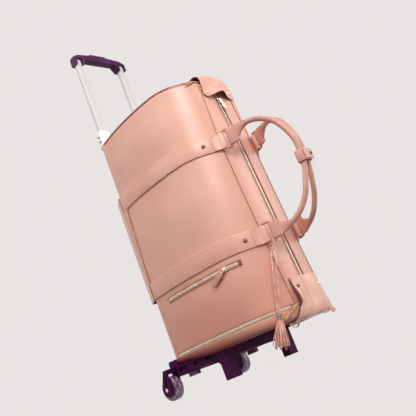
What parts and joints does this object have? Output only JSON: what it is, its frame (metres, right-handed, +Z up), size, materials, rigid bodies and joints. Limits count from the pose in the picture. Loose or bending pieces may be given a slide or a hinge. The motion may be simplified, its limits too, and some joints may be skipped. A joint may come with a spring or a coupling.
{
  "type": "weekender bag on a wheeled trolley frame",
  "caption": "Blush leather weekender bag standing on end on a two-wheel trolley with a telescopic pull handle, rolled carry handles, zips, straps and a tassel.",
  "frame": {"origin": "on the floor, below the middle of the whole object at rest", "axes": "+Z up along the pull handle tubes, -Y towards the carry handles, +X to the right seen from the carry handles"},
  "size_m": [0.2581, 0.4816, 0.8715],
  "materials": {
    "body_leather": "smooth grained blush leather, satin",
    "handle_leather": "rolled blush leather, satin",
    "tassel_leather": "cut leather fringe",
    "zip_tape": "woven tape with olive silver teeth",
    "gold_metal": "polished rose gold",
    "dark_metal": "burnished",
    "base_plastic": "moulded aubergine plastic",
    "grip_plastic": "moulded aubergine plastic",
    "tube_metal": "bright anodised",
    "collar_plastic": "white gloss",
    "wheel_plastic": "smoky tread",
    "steel": "bright",
    "soft_rubber": "lilac rubber"
  },
  "bodies": {
    "frame": {"back_crossbar": "base_plastic", "side_beam_left": "base_plastic", "side_beam_right": "base_plastic", "front_leg_bar": "base_plastic", "wheel_bracket_left": "base_plastic", "wheel_bracket_right": "base_plastic", "wheel_axles": "steel", "rubber_feet": "soft_rubber", "outer_tube_left": "tube_metal", "outer_tube_right": "tube_metal", "tube_collars": "collar_plastic", "collar_screws": "dark_metal", "side_panel_left": "body_leather", "side_panel_right": "body_leather", "back_panel": "body_leather", "gusset_left": "body_leather", "gusset_right": "body_leather", "main_zipper": "zip_tape", "lower_end_panel": "body_leather", "lower_end_zipper": "zip_tape", "upper_end_zipper": "zip_tape", "pocket_zipper": "zip_tape", "band_upper": "body_leather", "band_lower": "body_leather", "leather_studs": "dark_metal", "trolley_sleeve": "body_leather", "lower_flap": "body_leather", "lower_ring_tab": "body_leather", "end_zip_tab": "body_leather", "charm_thong": "handle_leather"},
    "wheel_left": {"wheel_tyre_left": "wheel_plastic", "wheel_hub_left": "wheel_plastic"},
    "wheel_right": {"wheel_tyre_right": "wheel_plastic", "wheel_hub_right": "wheel_plastic"},
    "pull_handle": {"inner_tube_left": "tube_metal", "inner_tube_right": "tube_metal", "pull_grip": "grip_plastic"},
    "release": {"release_button": "grip_plastic", "lock_rods": "tube_metal"},
    "end_lid": {"upper_end_panel": "body_leather", "upper_flap": "body_leather", "upper_flap_studs": "dark_metal", "upper_ring_tab": "body_leather"},
    "ring_top": {"upper_strap_ring": "gold_metal"},
    "ring_bottom": {"lower_strap_ring": "gold_metal"},
    "carry_left": {"handle_left": "handle_leather", "handle_rings_left": "gold_metal"},
    "carry_right": {"handle_right": "handle_leather", "handle_rings_right": "gold_metal", "handle_keeper": "handle_leather", "keeper_stud": "dark_metal"},
    "zip_main": {"main_slider": "gold_metal", "main_pull": "gold_metal"},
    "zip_pocket": {"pocket_slider": "gold_metal", "pocket_pull": "body_leather"},
    "zip_upper": {"upper_slider": "gold_metal"},
    "zip_lower": {"lower_slider": "gold_metal"},
    "charm": {"charm_strap": "handle_leather", "tassel_cap": "gold_metal", "tassel_fringe": "tassel_leather"}
  },
  "joints": [
    {"name": "wheel_left_spin", "type": "hinge", "parent": "frame", "child": "wheel_left", "pos_m": [-0.111, 0.21578, 0.025], "axis": [1, 0, 0], "continuous": true},
    {"name": "wheel_right_spin", "type": "hinge", "parent": "frame", "child": "wheel_right", "pos_m": [0.111, 0.21578, 0.025], "axis": [1, 0, 0], "continuous": true},
    {"name": "pull_handle_slide", "type": "slide", "parent": "frame", "child": "pull_handle", "axis": [0, 0, 1], "range_m": [-0.19, 0.1]},
    {"name": "release_press", "type": "slide", "parent": "pull_handle", "child": "release", "axis": [0, 0, -1], "range_m": [0, 0.004], "stiffness_N_per_m": 900, "springref_m": -0.003},
    {"name": "end_lid_open", "type": "hinge", "parent": "frame", "child": "end_lid", "pos_m": [0, 0.16213, 0.587], "axis": [-1, 0, 0], "range_deg": [0, 90]},
    {"name": "upper_ring_swing", "type": "hinge", "parent": "end_lid", "child": "ring_top", "pos_m": [0, -0.04172, 0.592], "axis": [1, 0, 0], "range_deg": [0, 150]},
    {"name": "lower_ring_swing", "type": "hinge", "parent": "frame", "child": "ring_bottom", "pos_m": [0, -0.05972, 0.059], "axis": [1, 0, 0], "range_deg": [-60, 60]},
    {"name": "carry_left_swing", "type": "hinge", "parent": "frame", "child": "carry_left", "pos_m": [-0.052, -0.11192, 0.33], "axis": [0, -0.036, -0.9994], "range_deg": [0, 100], "deforming": ["handle_keeper"]},
    {"name": "carry_right_swing", "type": "hinge", "parent": "frame", "child": "carry_right", "pos_m": [0.052, -0.11192, 0.33], "axis": [0, 0.036, 0.9994], "range_deg": [0, 100], "deforming": ["handle_keeper"]},
    {"name": "main_zip_slide", "type": "slide", "parent": "frame", "child": "zip_main", "axis": [0, -0.036, -0.9994], "range_m": [0, 0.365]},
    {"name": "pocket_zip_travel", "type": "hinge", "parent": "frame", "child": "zip_pocket", "pos_m": [0.503, 0.04228, 0.1906], "axis": [0, 0, -1], "range_deg": [0, 13.8]},
    {"name": "upper_zip_travel", "type": "hinge", "parent": "frame", "child": "zip_upper", "pos_m": [-0.03509, -0.01372, 0.58], "axis": [0, 0, -1], "range_deg": [0, 55]},
    {"name": "lower_zip_travel", "type": "hinge", "parent": "frame", "child": "zip_lower", "pos_m": [-0.03292, -0.03172, 0.08], "axis": [0, 0, -1], "range_deg": [0, 50]},
    {"name": "charm_swing", "type": "hinge", "parent": "frame", "child": "charm", "pos_m": [-0.0595, -0.12472, 0.199], "axis": [-0.7682, 0.6402, 0], "range_deg": [0, 70]}
  ]
}
